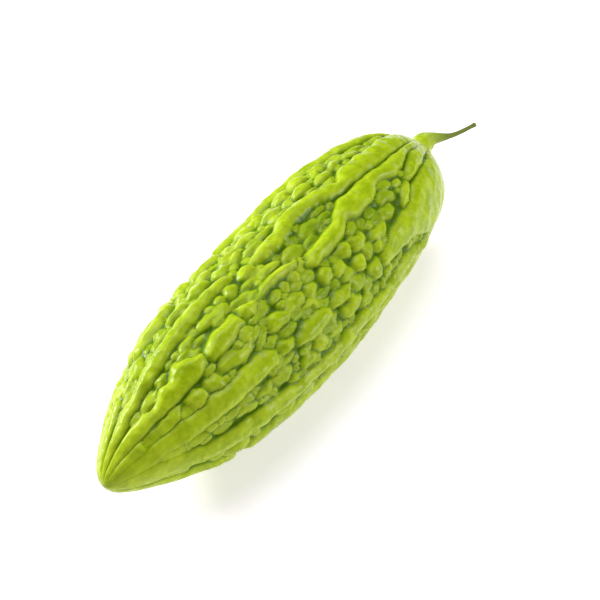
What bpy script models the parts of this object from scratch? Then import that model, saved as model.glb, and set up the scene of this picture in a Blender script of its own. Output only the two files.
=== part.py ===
"""Bitter melon: a plump green pod with lengthwise ridges and rows of warts, and its cut stem.

Metres, +Z up. The pod lies along X with its blossom tip at -X and its stem at +X, and it
rests on Z = 0 on small flats of its lowest ridges. The origin is on Z = 0 under the middle
of the bounding box. Round the pod, an angle of 0 degrees is the top, and +90 degrees is the
side at -Y.
"""
import math

import bmesh
import bpy
import numpy as np

MM = 0.001

# Driving dimensions of the pod, in millimetres along X from its mid-length
HALF_LENGTH = 106.0
RELIEF_DEPTH = 4.6
REST_FLAT_DEPTH = 1.4
STEM_GAP = 0.3

# Radius over the crests, from the blossom tip to the neck: (x, radius)
PROFILE = [
    (-106.0, 0.0), (-105.4, 2.1), (-104.0, 4.5), (-100.0, 8.2), (-92.0, 13.3), (-80.0, 19.3),
    (-60.0, 27.1), (-35.0, 30.9), (-10.0, 32.0), (15.0, 32.1), (40.0, 30.9), (60.0, 28.6),
    (75.0, 25.0), (85.0, 20.8), (92.0, 15.4), (96.5, 10.9), (99.5, 7.6), (102.0, 5.6),
    (106.0, 4.7),
]

# How far the middle of the pod sways off the straight axis: (x, y offset, z offset)
SWAY = [
    (-106.0, -1.0, -0.6), (-50.0, -0.9, -0.5), (0.0, -1.2, -0.7), (50.0, 0.6, 0.3),
    (90.0, 0.1, 0.0), (98.0, 0.4, 0.2), (106.0, 2.3, 1.3),
]

# Share of the relief depth that is reached along the pod: (x, share)
RELIEF_ALONG = [
    (-106.0, 0.0), (-103.0, 0.24), (-95.0, 0.52), (-80.0, 0.8), (-60.0, 1.0), (60.0, 1.0),
    (80.0, 0.8), (92.0, 0.5), (99.0, 0.3), (103.5, 0.0), (106.0, 0.0),
]

# Ridges of the side that is seen from above and from -Y, top to bottom, each a list of
# (x, upper edge, lower edge) with the edges in degrees round the pod
RIDGES = [
    [(-104, -60, -34), (-92, -57, -34), (-84, -54, -37)],
    [(-64, -53, -41), (-52, -53, -39), (-42, -50, -42)],
    [(-26, -51, -43), (-18, -51, -40), (-12, -49, -43)],
    [(-8, -62, -53), (5, -66, -51), (20, -63, -49), (32, -58, -45), (45, -53, -37),
     (80, -50, -28), (103, -50, -22)],
    [(-104, -27, -8), (-90, -26, -9), (-70, -24, -8), (-60, -22, -8), (-45, -22, -9),
     (-33, -20, -9), (-26, -17, -9)],
    [(-15, -10, -3), (-8, -12, 0), (0, -13, -1), (12, -19, -5), (20, -16.5, -3),
     (28, -12, 3), (34, -8.5, 6.5), (37.5, -3, 7.5), (40.5, -6.5, 8.2), (45, -9, 8.8),
     (60, -9.5, 10), (75, -12.5, 9.7), (88, -14, 9), (103, -15, 6)],
    [(-104, -3, 17), (-93, -1, 19), (-88, 3, 20), (-85, 1, 21), (-80, 7, 24), (-76, 2, 24),
     (-71, 5, 25), (-66, 0, 24), (-60, 7, 23)],
    [(-55, 12, 25), (-48, 8, 25), (-39, 10, 22)],
    [(-27, 13, 18), (-20, 11, 17), (-12, 11, 18), (-6, 13, 20)],
    [(-3, 18, 26), (1, 17, 29), (10, 17, 29), (18, 16, 28), (24, 12.5, 25), (30, 9.5, 27),
     (42, 10.2, 27.5), (49, 10.5, 23), (55, 11, 23.5), (62, 11.3, 28), (70, 11, 23.5),
     (78, 10.5, 18), (90, 9, 18), (103, 9, 22)],
    [(-104, 20, 38), (-93, 22, 37)],
    [(64, 33.5, 39), (67, 30.5, 39.5), (72, 25.5, 38), (79, 20, 35.5), (88, 20, 31), (97, 24, 29)],
    [(-104, 42, 62), (-80, 42, 62), (-60, 43, 61), (-40, 45, 60)],
    [(-26, 55, 62), (-20, 51, 66), (-13, 50, 65), (-9, 54, 62)],
    [(28, 60, 71), (35, 57, 73), (42, 54, 75), (50, 52, 78), (58, 49.5, 86), (63, 44, 92),
     (70, 41, 97), (80, 39, 105), (90, 36, 106), (103, 34, 100)],
    [(-104, 66, 98), (-88, 70, 98), (-70, 80, 100), (-50, 80, 97), (-30, 84, 96),
     (-12, 85, 99), (8, 80, 96), (25, 85, 95), (42, 83, 98), (51, 87, 98), (57, 91, 96)],
    [(-104, 106, 132), (-85, 111, 131), (-66, 116, 128)],
    [(-55, 114, 128), (-42, 111, 131), (-15, 114, 130), (5, 117, 127), (22, 113, 131),
     (50, 113, 130), (80, 111, 134), (103, 109, 134)],
]

# Where the grooves run out into smooth skin: (x, angle, half length, half angle, share lost)
CALM = [
    (-108.0, 64.0, 31.0, 56.0, 0.85), (92.0, 2.0, 17.0, 22.0, 0.45),
    (-66.0, 52.0, 20.0, 22.0, 0.3),
]

# Where the warts stand lower than the skin round them, in the same columns
HOLLOWS = [
    (8.0, 7.0, 22.0, 11.0, 0.3), (42.0, 34.0, 14.0, 9.0, 0.25), (-3.0, 47.0, 8.0, 7.0, 0.15),
    (-66.0, 33.0, 14.0, 12.0, -0.1),
]

# Warts of the same side: (x, angle, length, width, lean), lengths in millimetres and the
# lean in degrees that turns the length from +X towards the greater angles
WARTS = [
    (-1.5, 9, 11, 6.2, 0), (12, 5, 12, 6.2, 0), (7, 13.2, 9, 3.4, 0), (21, 1.5, 8, 3.3, 0),
    (20.5, 8, 9, 3.3, 0), (-14, 6, 11, 3.9, 0), (-57, -1.5, 7, 3.4, 0), (-61, 4, 7, 2.8, 0),
    (-54, 4, 7, 2.9, 0), (-45, -1, 11, 4.6, 0), (-38, 2.5, 7, 4.3, 0), (-32, 6, 11, 4.3, 0),
    (-24, 2.5, 7, 4.4, 0), (-34, 15, 11, 6.5, 0), (-19, -6, 9, 4.4, 0),
    (48.7, 34.6, 10.2, 5.2, 18), (43.5, 42.5, 10.5, 5.8, 22), (58, 33, 6.2, 4.1, 0),
    (36.5, 33, 5.2, 3.8, 10), (52, 26.5, 6, 3.6, 22), (24, 29, 7.1, 5, -18),
    (21.5, 39, 9.5, 7.2, 0), (13.5, 35.5, 7, 6.2, 0), (31.6, 38, 5.2, 3.4, 13),
    (0.2, 38, 8.2, 6.6, 13), (6.5, 41.5, 7, 5.6, 0), (16, 50.5, 9.5, 7.3, 27),
    (33, 47.5, 12, 5.2, 5), (57.5, 44, 13, 4.8, -32), (-6, 30, 6, 4.5, 0),
    (-12, 28.5, 6, 3.3, 0), (-9, 38, 7, 5.6, 0), (-17, 35, 10, 6.1, 0), (-28, 36.5, 12, 6.5, 0),
    (-35.5, 44, 8, 4.3, 0), (-27, 46.5, 9, 4.4, 0), (-20.5, 43.5, 5, 2.8, 0),
    (-15, 43, 6, 3.3, 0), (-5, 46, 8, 3.9, 0), (-50, 34, 18, 6.5, 6), (-62, 35, 8, 6, 0),
    (-87.8, 64.5, 3.6, 2.5, 0), (-84.3, 66.5, 3.6, 2.9, 8), (-81.2, 70.5, 3.3, 2.6, 16),
    (-69.5, 35, 7, 7.3, 0), (-80, 32, 11, 4.4, 0), (-88, 31, 6, 2.4, 0), (23, 66, 10, 9.4, 0),
    (3, 68, 12, 8.4, 0), (0.5, 57.5, 13, 7.3, 0), (12, 61, 9, 5, 0), (-34, 63, 9, 4.3, 0),
    (-17.5, 73, 8, 6.6, 0), (-8, 75, 8, 5, 0), (-25, 76, 8, 5.5, 0), (-62, 66.5, 7, 3.7, 0),
    (-57, 72, 8, 3.8, 0), (-67, 73, 8, 3.8, 0), (-47, 70, 9, 5.1, 0), (-38, 71, 10, 6.4, 0),
    (-77, 69, 8, 2.9, 0), (12, 76, 9, 5.6, 0), (34, 79, 7, 3.3, 0), (-38.8, 32, 8.3, 3, -30),
    (-36.8, 36.5, 11, 2.8, -39), (-16, 23.5, 5, 3.7, -28), (-22, 23.5, 6.6, 3.4, -13),
    (-28.7, 22.5, 7.2, 4.4, -35), (-3.5, 21.5, 7, 3.8, -33), (-58, 8.5, 7.4, 4.2, -24),
    (-8, -18, 12, 4.5, 0), (39, -16, 9, 5.2, -8), (48.5, -19.5, 9.5, 5.2, -6), (29, -23.5, 12, 6.4, -8),
    (2, -22, 8, 3.9, 0), (-33, -30, 12, 6.5, 0), (-46, -30, 11, 5.6, 0), (-22, -24, 9, 4.9, 0),
    (13, -31, 12, 6.2, 0), (-3, -32, 11, 5.6, 0), (58.5, -18, 8.5, 4.6, -4), (66, -26, 9, 4.3, 0),
    (-58, -29, 9, 3.3, 0), (-14, -33, 9, 5, 0),
]

# Ridges of the side that is out of sight, by rule
HIDDEN_RIDGES = 5
HIDDEN_FIRST_ANGLE = 154.3
HIDDEN_PITCH = 32.3
HIDDEN_END_HALF_ANGLE = 12.5
HIDDEN_MID_HALF_ANGLE = 7.5
HIDDEN_WIDTH_RANGE = (0.82, 1.18)
HIDDEN_WANDER = 2.6
HIDDEN_PIECE_LENGTHS = (34.0, 62.0)
HIDDEN_ROW_PITCH = 11.0
HIDDEN_BREAK = 7.0
HIDDEN_BREAK_RANGE = (0.6, 1.4)
HIDDEN_TAPER = 0.5
HIDDEN_SEED = 7
RIDGE_END_X = (-104.5, 103.5)

# Small warts that fill what is left: (largest radius, smallest radius, tries)
WART_PASSES = [(4.9, 3.7, 4000), (3.9, 2.7, 6000), (2.9, 1.9, 9000), (2.1, 1.25, 14000)]
WART_LENGTHENING = (1.0, 1.45)
WART_LEANS = (-35.0, 25.0)
WART_END_ROOM = 6.0
WART_SEED = 8

# Cross-section of a ridge or wart, in millimetres and as shares of the relief's depth
EDGE_WIDTH = 3.2
SMALLEST_EDGE_WIDTH = 0.9
EDGE_SHARE = 0.9
EDGE_RISE = 0.95
LEAST_EDGE_SCALE = 0.25
SHOULDER_POWERS = (2.2, 0.75)
CROWN = 0.8
CROWN_REACH = 4.5
WART_TOP = (0.62, 0.95)
WART_TOP_RADII = (1.3, 4.6)
WART_TOP_SPREAD = 0.12
WART_TOP_SEED = 9

# The grooves between them: how their floors blend, sink and round off where three meet
FLOOR_BLEND = 0.55
CORNER_BLEND = 0.7
VALLEY_WIDTH = 1.6
VALLEY_SINK = 0.45
OUTSIDE_MARGIN = 0.8
MARGIN_SPREAD = 0.35
MARGIN_LENGTH = 13.0
MARGIN_SEED = 18

# Where neighbouring warts have grown together, and how near their edges that reaches
FUSION = 0.9
FUSION_LENGTH = 9.0
FUSION_SEED = 15
MOST_FUSED = 0.85
FUSION_REACH = 0.6
FUSION_FADE = 1.2

# How the edges wander, as (amount, wavelength along X, wavelength round) in millimetres
EDGE_WANDER = (0.4, 11.0, 8.0)
EDGE_WANDER_SEEDS = (11, 12)
FINE_WANDER = (0.3, 4.5, 4.5)
FINE_WANDER_SEEDS = (16, 17)
RIDGE_WANDER_SHARE = 0.35
RIDGE_LOBES = 0.25
RIDGE_LOBE_LENGTH = 17.0
RIDGE_LOBE_SEED = 14
FULL_WANDER_RADIUS = 18.0
SKIN_UNDULATION = 0.3
SKIN_UNDULATION_LENGTH = 12.0
SKIN_UNDULATION_SEED = 13
RIPPLE_WAVES = 14
RIPPLE_SPREAD = (0.7, 1.5)
LEAST_RADIUS = 0.5
POINTS_AT_ONCE = 4000

# The turned body that the relief is raised on, and the faceted surface that is kept
OUTLINE_POINTS = 4000
RINGS_PITCH = 0.85
STEPS_ROUND = 300
TURN_WELD = 0.02
LEAST_RADIUS_SHARE = 0.2
KEPT_TRIANGLES = 10400

# Stem: (distance along, radius) in millimetres, and its way in the plane it bends in
STEM_RADII = [
    (0.0, 4.4), (2.3, 4.0), (4.7, 3.1), (8.5, 2.3), (12.7, 1.55), (16.5, 1.05),
    (21.3, 0.9), (29.0, 0.85), (31.0, 1.0),
]
STEM_LENGTH = 31.0
STEM_BEND = [
    (0.0, 0.0), (2.3, 8.0), (6.5, 26.0), (10.6, 30.5), (14.6, 26.0), (19.0, 19.0),
    (23.5, 14.5), (31.0, 13.5),
]
STEM_BEND_SIDE = (-0.873, -0.488)
STEM_POINTS = 28
STEM_BEVEL_RESOLUTION = 4
STEM_WELD = 0.01
STEM_SHARP_ANGLE = 50.0

# Colours as the eye meets them, linear RGBA, with their roughness
SKIN_COLOUR = (0.34, 0.52, 0.03, 1.0)
SKIN_ROUGHNESS = 0.33
STEM_COLOUR = (0.13, 0.20, 0.035, 1.0)
STEM_ROUGHNESS = 0.6


def smooth_through(points, at, column=1):
    """Smooth curve through hand-set points, with no overshoot between them."""
    table = np.array(points, float)
    knots = table[:, 0]
    values = table[:, column]
    step = np.diff(knots)
    grade = np.diff(values) / step
    slope = np.zeros(len(knots))
    slope[0] = grade[0]
    slope[-1] = grade[-1]
    agree = grade[:-1] * grade[1:] > 0
    total = np.where(agree, grade[:-1] + grade[1:], 1.0)
    slope[1:-1] = np.where(agree, 2 * grade[:-1] * grade[1:] / total, 0.0)
    at = np.clip(at, knots[0], knots[-1])
    i = np.clip(np.searchsorted(knots, at) - 1, 0, len(step) - 1)
    t = (at - knots[i]) / step[i]
    rise = (3 * t * t - 2 * t ** 3) * (values[i + 1] - values[i])
    bend = (t ** 3 - 2 * t * t + t) * slope[i] + (t ** 3 - t * t) * slope[i + 1]
    return values[i] + rise + bend * step[i]


def radius_at(x):
    """Radius over the crests at x, in millimetres."""
    return smooth_through(PROFILE, x)


def ripple(points, wavelength, seed):
    """Smooth seeded waviness of about one wavelength in space, between about -1 and 1."""
    draw = np.random.default_rng(seed)
    way = draw.normal(size=(RIPPLE_WAVES, 3))
    way /= np.linalg.norm(way, axis=1, keepdims=True)
    pitch = math.tau / (wavelength * draw.uniform(*RIPPLE_SPREAD, RIPPLE_WAVES))
    phase = draw.uniform(0, math.tau, RIPPLE_WAVES)
    total = np.zeros(len(points))
    for k in range(RIPPLE_WAVES):
        total += np.cos(points @ way[k] * pitch[k] + phase[k])
    return total / math.sqrt(RIPPLE_WAVES)


def hidden_ridges():
    """Ridges of the side out of sight: evenly pitched, wandering and broken like the others."""
    draw = np.random.default_rng(HIDDEN_SEED)
    found = []
    for k in range(HIDDEN_RIDGES):
        middle = HIDDEN_FIRST_ANGLE + k * HIDDEN_PITCH
        first, last = RIDGE_END_X
        start = first
        while start < last:
            stop = start + draw.uniform(*HIDDEN_PIECE_LENGTHS)
            if last - stop < HIDDEN_PIECE_LENGTHS[0]:
                stop = last
            points = []
            rows = 2 + int((stop - start) / HIDDEN_ROW_PITCH)
            for x in np.linspace(start, stop, rows):
                toward_end = abs((x - 0.5 * (first + last)) / (0.5 * (last - first)))
                half = HIDDEN_MID_HALF_ANGLE
                half += (HIDDEN_END_HALF_ANGLE - half) * toward_end ** 3
                half *= draw.uniform(*HIDDEN_WIDTH_RANGE)
                if (x == start and start > first) or (x == stop and stop < last):
                    half *= HIDDEN_TAPER
                turn = HIDDEN_WANDER * (1 - toward_end) * draw.uniform(-1, 1)
                points.append((x, middle + turn - half, middle + turn + half))
            found.append(points)
            start = stop + HIDDEN_BREAK * draw.uniform(*HIDDEN_BREAK_RANGE)
    return found


def wrapped(degrees):
    """Angle difference brought between -180 and 180 degrees."""
    return (degrees + 180.0) % 360.0 - 180.0


def patches(x, angle, rows):
    """Summed amount of soft-edged patches (x, angle, half length, half angle, amount)."""
    total = np.zeros(len(x))
    for mid_x, mid_angle, half_x, half_angle, amount in rows:
        far = ((x - mid_x) / half_x) ** 2 + (wrapped(angle - mid_angle) / half_angle) ** 2
        total += amount * np.exp(-far ** 2)
    return total


def ridge_distance(x, angle, radius, ridge):
    """Distance outside a ridge's edge, negative on the ridge, in millimetres."""
    inside_x = np.clip(x, ridge[0][0], ridge[-1][0])
    upper = smooth_through(ridge, inside_x, 1)
    lower = smooth_through(ridge, inside_x, 2)
    across = np.radians(wrapped(angle - 0.5 * (upper + lower))) * radius
    half = np.radians(0.5 * (lower - upper)) * radius
    return np.hypot(across, x - inside_x) - half


def wart_distance(x, angle, radius, warts):
    """Distance outside each wart's edge, one column for each wart, in millimetres."""
    ahead = x[:, None] - warts[None, :, 0]
    arc = np.radians(wrapped(angle[:, None] - warts[None, :, 1])) * radius[:, None]
    cos = np.cos(warts[:, 4])
    sin = np.sin(warts[:, 4])
    along = (ahead * cos + arc * sin) / warts[None, :, 2]
    across = (arc * cos - ahead * sin) / warts[None, :, 3]
    size = np.sqrt(warts[:, 2] * warts[:, 3])
    return (np.sqrt(along ** 2 + across ** 2) - 1.0) * size[None, :]


def placed_warts():
    """The warts set by hand as (x, angle, half length, half width, lean in radians)."""
    return [(x, angle, 0.5 * length, 0.5 * width, math.radians(lean))
            for x, angle, length, width, lean in WARTS]


def filled_in_warts(ridges, warts):
    """Adds seeded warts, large ones first, wherever a free spot is wide enough."""
    draw = np.random.default_rng(WART_SEED)
    first, last = RIDGE_END_X
    for largest, smallest, tries in WART_PASSES:
        x = draw.uniform(first + WART_END_ROOM, last - WART_END_ROOM, tries)
        angle = draw.uniform(-180, 180, tries)
        stretch = draw.uniform(*WART_LENGTHENING, tries)
        lean = np.radians(draw.uniform(*WART_LEANS, tries))
        radius = radius_at(x)
        free = np.min([ridge_distance(x, angle, radius, ridge) for ridge in ridges], axis=0)
        free = np.minimum(free, wart_distance(x, angle, radius, np.array(warts)).min(axis=1))
        added = []
        for k in np.flatnonzero(free >= smallest):
            half = min(free[k], largest)
            spot = slice(k, k + 1)
            if added:
                near = wart_distance(x[spot], angle[spot], radius[spot], np.array(added))
                half = min(half, float(near.min()))
            if half >= smallest:
                added.append((x[k], angle[k], half * stretch[k], half, lean[k]))
        warts = warts + added
    return warts


def wart_cross_section(warts):
    """How high each wart stands as a share of the relief, and how wide its rounded edge is."""
    half = np.minimum(warts[:, 2], warts[:, 3])
    share = (half - WART_TOP_RADII[0]) / (WART_TOP_RADII[1] - WART_TOP_RADII[0])
    draw = np.random.default_rng(WART_TOP_SEED)
    tops = WART_TOP[0] + (WART_TOP[1] - WART_TOP[0]) * np.clip(share, 0, 1)
    tops -= patches(warts[:, 0], warts[:, 1], HOLLOWS)
    tops += draw.uniform(-WART_TOP_SPREAD, WART_TOP_SPREAD, len(warts))
    return tops, np.clip(EDGE_SHARE * half, SMALLEST_EDGE_WIDTH, EDGE_WIDTH)


def wandered(place, wander, seeds):
    """How far the edges wander at each place, along X and round the pod, in millimetres."""
    amount, along, round_pod = wander
    return amount * ripple(place, along, seeds[0]), amount * ripple(place, round_pod, seeds[1])


def shoulder_height(inside, edge):
    """Rounded rise from a cell's edge inwards, from 0 in the groove to 1 on the cell."""
    up = np.clip(inside / edge, 0, 1)
    return (1 - (1 - up) ** SHOULDER_POWERS[0]) ** SHOULDER_POWERS[1]


def relief(x, angle):
    """Height of the skin over the crest envelope, in millimetres, at each (x, angle)."""
    radius = np.maximum(radius_at(x), LEAST_RADIUS)
    turn = np.radians(angle)
    place = np.stack([x, radius * np.cos(turn), radius * np.sin(turn)], axis=1)
    ease = np.clip(radius / FULL_WANDER_RADIUS, 0, 1)
    relief_share = smooth_through(RELIEF_ALONG, x) * (1 - patches(x, angle, CALM))
    fused = np.clip(FUSION * ripple(place, FUSION_LENGTH, FUSION_SEED), 0, MOST_FUSED)
    lobes = RIDGE_LOBES * ease * ripple(place, RIDGE_LOBE_LENGTH, RIDGE_LOBE_SEED)
    margin = OUTSIDE_MARGIN + MARGIN_SPREAD * ripple(place, MARGIN_LENGTH, MARGIN_SEED)
    coarse = wandered(place, EDGE_WANDER, EDGE_WANDER_SEEDS)
    fine = wandered(place, FINE_WANDER, FINE_WANDER_SEEDS)
    ahead = (coarse[0] + fine[0]) * ease
    aside = np.degrees((coarse[1] + fine[1]) * ease / radius)
    wart_x = x + ahead
    wart_angle = angle + aside
    ridge_x = x + RIDGE_WANDER_SHARE * ahead
    ridge_angle = angle + RIDGE_WANDER_SHARE * aside

    ridges = RIDGES + hidden_ridges()
    warts = np.array(filled_in_warts(ridges, placed_warts()))
    wart_tops, wart_edges = wart_cross_section(warts)
    tops = np.concatenate([np.ones(len(ridges)), wart_tops])
    edges = np.concatenate([np.full(len(ridges), EDGE_WIDTH), wart_edges])
    rise = np.minimum(EDGE_RISE * edges / RELIEF_DEPTH, tops)
    floor = tops - rise

    height = np.empty(len(x))
    for start in range(0, len(x), POINTS_AT_ONCE):
        part = slice(start, start + POINTS_AT_ONCE)
        rx, ra, pr = ridge_x[part], ridge_angle[part], radius[part]
        far = [(ridge_distance(rx, ra, pr, ridge) - lobes[part])[:, None] for ridge in ridges]
        far.append(wart_distance(wart_x[part], wart_angle[part], pr, warts))
        far = np.concatenate(far, axis=1)
        rows = np.arange(len(rx))
        own = far.argmin(axis=1)
        nearest = far[rows, own]
        far[rows, own] = np.inf
        second = far.min(axis=1)
        far[rows, own] = nearest

        # Distance in from the cell's own edge, rounded off where that edge meets a valley
        between = 0.5 * (second - nearest)
        within = margin[part] - nearest
        mixed = np.clip(0.5 + 0.5 * (within - between) / CORNER_BLEND, 0, 1)
        inside = within + (between - within) * mixed
        inside -= CORNER_BLEND * mixed * (1 - mixed)

        share = np.clip(smooth_through(RELIEF_ALONG, rx), LEAST_EDGE_SCALE, 1)
        up = shoulder_height(inside, edges[own] * share)
        near_edge = np.clip(1 + (FUSION_REACH - second) / FUSION_FADE, 0, 1)
        up += (1 - up) * fused[part] * near_edge * (own >= len(ridges))
        weight = np.exp(-(far - nearest[:, None]) / FLOOR_BLEND)
        level = (weight @ floor) / weight.sum(axis=1)
        level *= 1 - VALLEY_SINK * np.clip(nearest / VALLEY_WIDTH, 0, 1) ** 2
        crown = CROWN * (np.clip(-nearest / CROWN_REACH, 0, 1) - 1)
        height[part] = RELIEF_DEPTH * (level + rise[own] * up - 1) + crown * up
    waves = ripple(place, SKIN_UNDULATION_LENGTH, SKIN_UNDULATION_SEED)
    return relief_share * height + SKIN_UNDULATION * waves * ease


def remove_everything():
    """Empties the file of objects."""
    for item in list(bpy.data.objects):
        bpy.data.objects.remove(item, do_unlink=True)


def make_material(name, colour, roughness):
    """A plain coloured skin."""
    material = bpy.data.materials.new(name)
    material.use_nodes = True
    shader = material.node_tree.nodes["Principled BSDF"]
    shader.inputs["Base Color"].default_value = colour
    shader.inputs["Roughness"].default_value = roughness
    shader.inputs["Metallic"].default_value = 0.0
    return material


def add_object(name, data, collection):
    """Links new mesh or curve data into the collection."""
    item = bpy.data.objects.new(name, data)
    collection.objects.link(item)
    return item


def evaluated_mesh(item):
    """The object's mesh as its modifiers leave it."""
    bpy.context.view_layer.update()
    depsgraph = bpy.context.evaluated_depsgraph_get()
    return bpy.data.meshes.new_from_object(item.evaluated_get(depsgraph))


def coordinates(mesh):
    """The mesh's points as one array."""
    flat = np.empty(len(mesh.vertices) * 3)
    mesh.vertices.foreach_get("co", flat)
    return flat.reshape(-1, 3)


def set_coordinates(mesh, points):
    """Moves the mesh's points."""
    mesh.vertices.foreach_set("co", points.astype(np.float32).ravel())
    mesh.update()


def profile_outline():
    """Points (radius, height) down the outer side of the upright pod, neck first."""
    fine = np.linspace(HALF_LENGTH, -HALF_LENGTH, OUTLINE_POINTS)
    fine_radius = radius_at(fine)
    run = np.concatenate([[0], np.cumsum(np.hypot(np.diff(fine), np.diff(fine_radius)))])
    stations = np.linspace(0, run[-1], int(run[-1] / RINGS_PITCH))
    heights = np.interp(stations, run, fine)
    outline = [(0.0, HALF_LENGTH)]
    outline += [(float(radius_at(np.array([h]))[0]), h) for h in heights[:-1]]
    outline.append((0.0, -HALF_LENGTH))
    return outline


def turned_body(collection):
    """The smooth pod, upright along Z: its outline turned once round."""
    mesh = bpy.data.meshes.new("outline")
    points = [(r * MM, 0.0, h * MM) for r, h in profile_outline()]
    mesh.from_pydata(points, [(i, i + 1) for i in range(len(points) - 1)], [])
    body = add_object("outline", mesh, collection)
    screw = body.modifiers.new("turn", "SCREW")
    screw.axis = "Z"
    screw.angle = math.tau
    screw.steps = STEPS_ROUND
    screw.render_steps = STEPS_ROUND
    screw.use_merge_vertices = True
    screw.merge_threshold = TURN_WELD * MM
    screw.use_smooth_shade = True
    turned = evaluated_mesh(body)
    bpy.data.objects.remove(body, do_unlink=True)
    bpy.data.meshes.remove(mesh)
    return turned


def raise_relief(mesh):
    """Lays the upright pod along X and moves every point to its place in the relief."""
    points = coordinates(mesh) / MM
    x = points[:, 2]
    angle = np.degrees(np.arctan2(points[:, 1], points[:, 0]))
    out = np.hypot(points[:, 0], points[:, 1])
    height = relief(x, angle)
    envelope = np.maximum(radius_at(x), 0.001)
    out = out * np.maximum(envelope + height, LEAST_RADIUS_SHARE * envelope) / envelope
    turn = np.radians(angle)
    laid = np.empty_like(points)
    laid[:, 0] = x
    laid[:, 1] = smooth_through(SWAY, x, 1) - out * np.sin(turn)
    laid[:, 2] = smooth_through(SWAY, x, 2) + out * np.cos(turn)
    set_coordinates(mesh, laid * MM)


def make_fruit(collection):
    """The pod with its ridges and warts, kept as a faceted surface, before it is set down."""
    mesh = turned_body(collection)
    raise_relief(mesh)
    fine = add_object("fine", mesh, collection)
    thin_out = fine.modifiers.new("thin_out", "DECIMATE")
    thin_out.decimate_type = "COLLAPSE"
    triangles = sum(len(face.vertices) - 2 for face in mesh.polygons)
    thin_out.ratio = KEPT_TRIANGLES / triangles
    kept = evaluated_mesh(fine)
    bpy.data.objects.remove(fine, do_unlink=True)
    bpy.data.meshes.remove(mesh)
    return add_object("fruit", kept, collection)


def stem_path():
    """Centre points and radii of the stem: out of the neck, then bent down to one side."""
    run = np.linspace(0, STEM_LENGTH, STEM_POINTS)
    bend = np.radians(smooth_through(STEM_BEND, run))
    step = np.diff(run)
    middle = 0.5 * (bend[1:] + bend[:-1])
    along = np.concatenate([[0], np.cumsum(step * np.cos(middle))])
    aside = np.concatenate([[0], np.cumsum(step * np.sin(middle))])
    start_y = SWAY[-1][1]
    start_z = SWAY[-1][2]
    x = HALF_LENGTH + STEM_GAP + along
    y = start_y + aside * STEM_BEND_SIDE[0]
    z = start_z + aside * STEM_BEND_SIDE[1]
    return np.stack([x, y, z], axis=1), smooth_through(STEM_RADII, run)


def make_stem(collection):
    """The stem: a tapering tube that swells where it meets the neck and flares at its cut."""
    points, radii = stem_path()
    curve = bpy.data.curves.new("stem_way", "CURVE")
    curve.dimensions = "3D"
    curve.bevel_depth = MM
    curve.bevel_resolution = STEM_BEVEL_RESOLUTION
    curve.use_fill_caps = True
    spline = curve.splines.new("POLY")
    spline.points.add(len(points) - 1)
    for spot, place, radius in zip(spline.points, points, radii):
        spot.co = (*(place * MM), 1.0)
        spot.radius = radius
    way = add_object("stem_way", curve, collection)
    mesh = evaluated_mesh(way)
    bpy.data.objects.remove(way, do_unlink=True)
    welded = bmesh.new()
    welded.from_mesh(mesh)
    bmesh.ops.remove_doubles(welded, verts=welded.verts, dist=STEM_WELD * MM)
    bmesh.ops.recalc_face_normals(welded, faces=welded.faces)
    welded.to_mesh(mesh)
    welded.free()
    return add_object("stem", mesh, collection)


def set_down(fruit, stem):
    """Lowers both onto Z = 0, with the lowest ridges flattened, and centres their box."""
    both = np.concatenate([coordinates(fruit.data), coordinates(stem.data)])
    low = both.min(axis=0)
    high = both.max(axis=0)
    middle = 0.5 * (low + high)
    shift = np.array([-middle[0], -middle[1], -low[2] - REST_FLAT_DEPTH * MM])
    for item in (fruit, stem):
        points = coordinates(item.data) + shift
        points[:, 2] = np.maximum(points[:, 2], 0.0)
        set_coordinates(item.data, points)


def build():
    """Makes the pod and the stem in their collection."""
    remove_everything()
    collection = bpy.data.collections.new("bitter_melon")
    bpy.context.scene.collection.children.link(collection)
    fruit = make_fruit(collection)
    stem = make_stem(collection)
    set_down(fruit, stem)
    fruit.data.materials.clear()
    fruit.data.materials.append(make_material("melon_skin", SKIN_COLOUR, SKIN_ROUGHNESS))
    fruit.data.shade_smooth()
    stem.data.materials.clear()
    stem.data.materials.append(make_material("stem_skin", STEM_COLOUR, STEM_ROUGHNESS))
    stem.data.shade_smooth()
    stem.data.set_sharp_from_angle(angle=math.radians(STEM_SHARP_ANGLE))


build()
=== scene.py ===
import logging
import math
from dataclasses import dataclass, field
from enum import Enum
from functools import partial
from typing import Any, Callable, Sequence

import bpy
import numpy as np
from mathutils import Matrix, Vector


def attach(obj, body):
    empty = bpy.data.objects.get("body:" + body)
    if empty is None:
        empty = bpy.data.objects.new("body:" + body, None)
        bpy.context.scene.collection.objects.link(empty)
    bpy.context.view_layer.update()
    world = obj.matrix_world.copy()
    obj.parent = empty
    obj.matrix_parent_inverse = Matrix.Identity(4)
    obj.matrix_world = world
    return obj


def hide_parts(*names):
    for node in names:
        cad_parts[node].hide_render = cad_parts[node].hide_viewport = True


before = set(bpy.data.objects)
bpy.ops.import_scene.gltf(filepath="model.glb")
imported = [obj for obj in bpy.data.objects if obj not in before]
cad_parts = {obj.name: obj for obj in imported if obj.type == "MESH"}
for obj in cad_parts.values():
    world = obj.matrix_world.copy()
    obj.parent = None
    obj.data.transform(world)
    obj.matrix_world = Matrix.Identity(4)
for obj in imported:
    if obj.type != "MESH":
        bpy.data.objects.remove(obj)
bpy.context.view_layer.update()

LOG = logging.getLogger("bitter_melon")
MM = 0.001
BODY = "root"
RIPPLE_WAVES = 14
RIPPLE_SPREAD = (0.7, 1.5)

Row = tuple[float, ...]
Rows = Sequence[Row]


class Mark(Enum):
    """Names of the attributes that the pod's mesh carries for its shape and its colours."""

    OUTWARD = "outward"
    SHARE = "relief_share"
    LIFT = "lift"
    CROWN = "crown"
    ALONG = "along_mm"
    TONE = "tone"
    SHOULDER = "shoulder"


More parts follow.
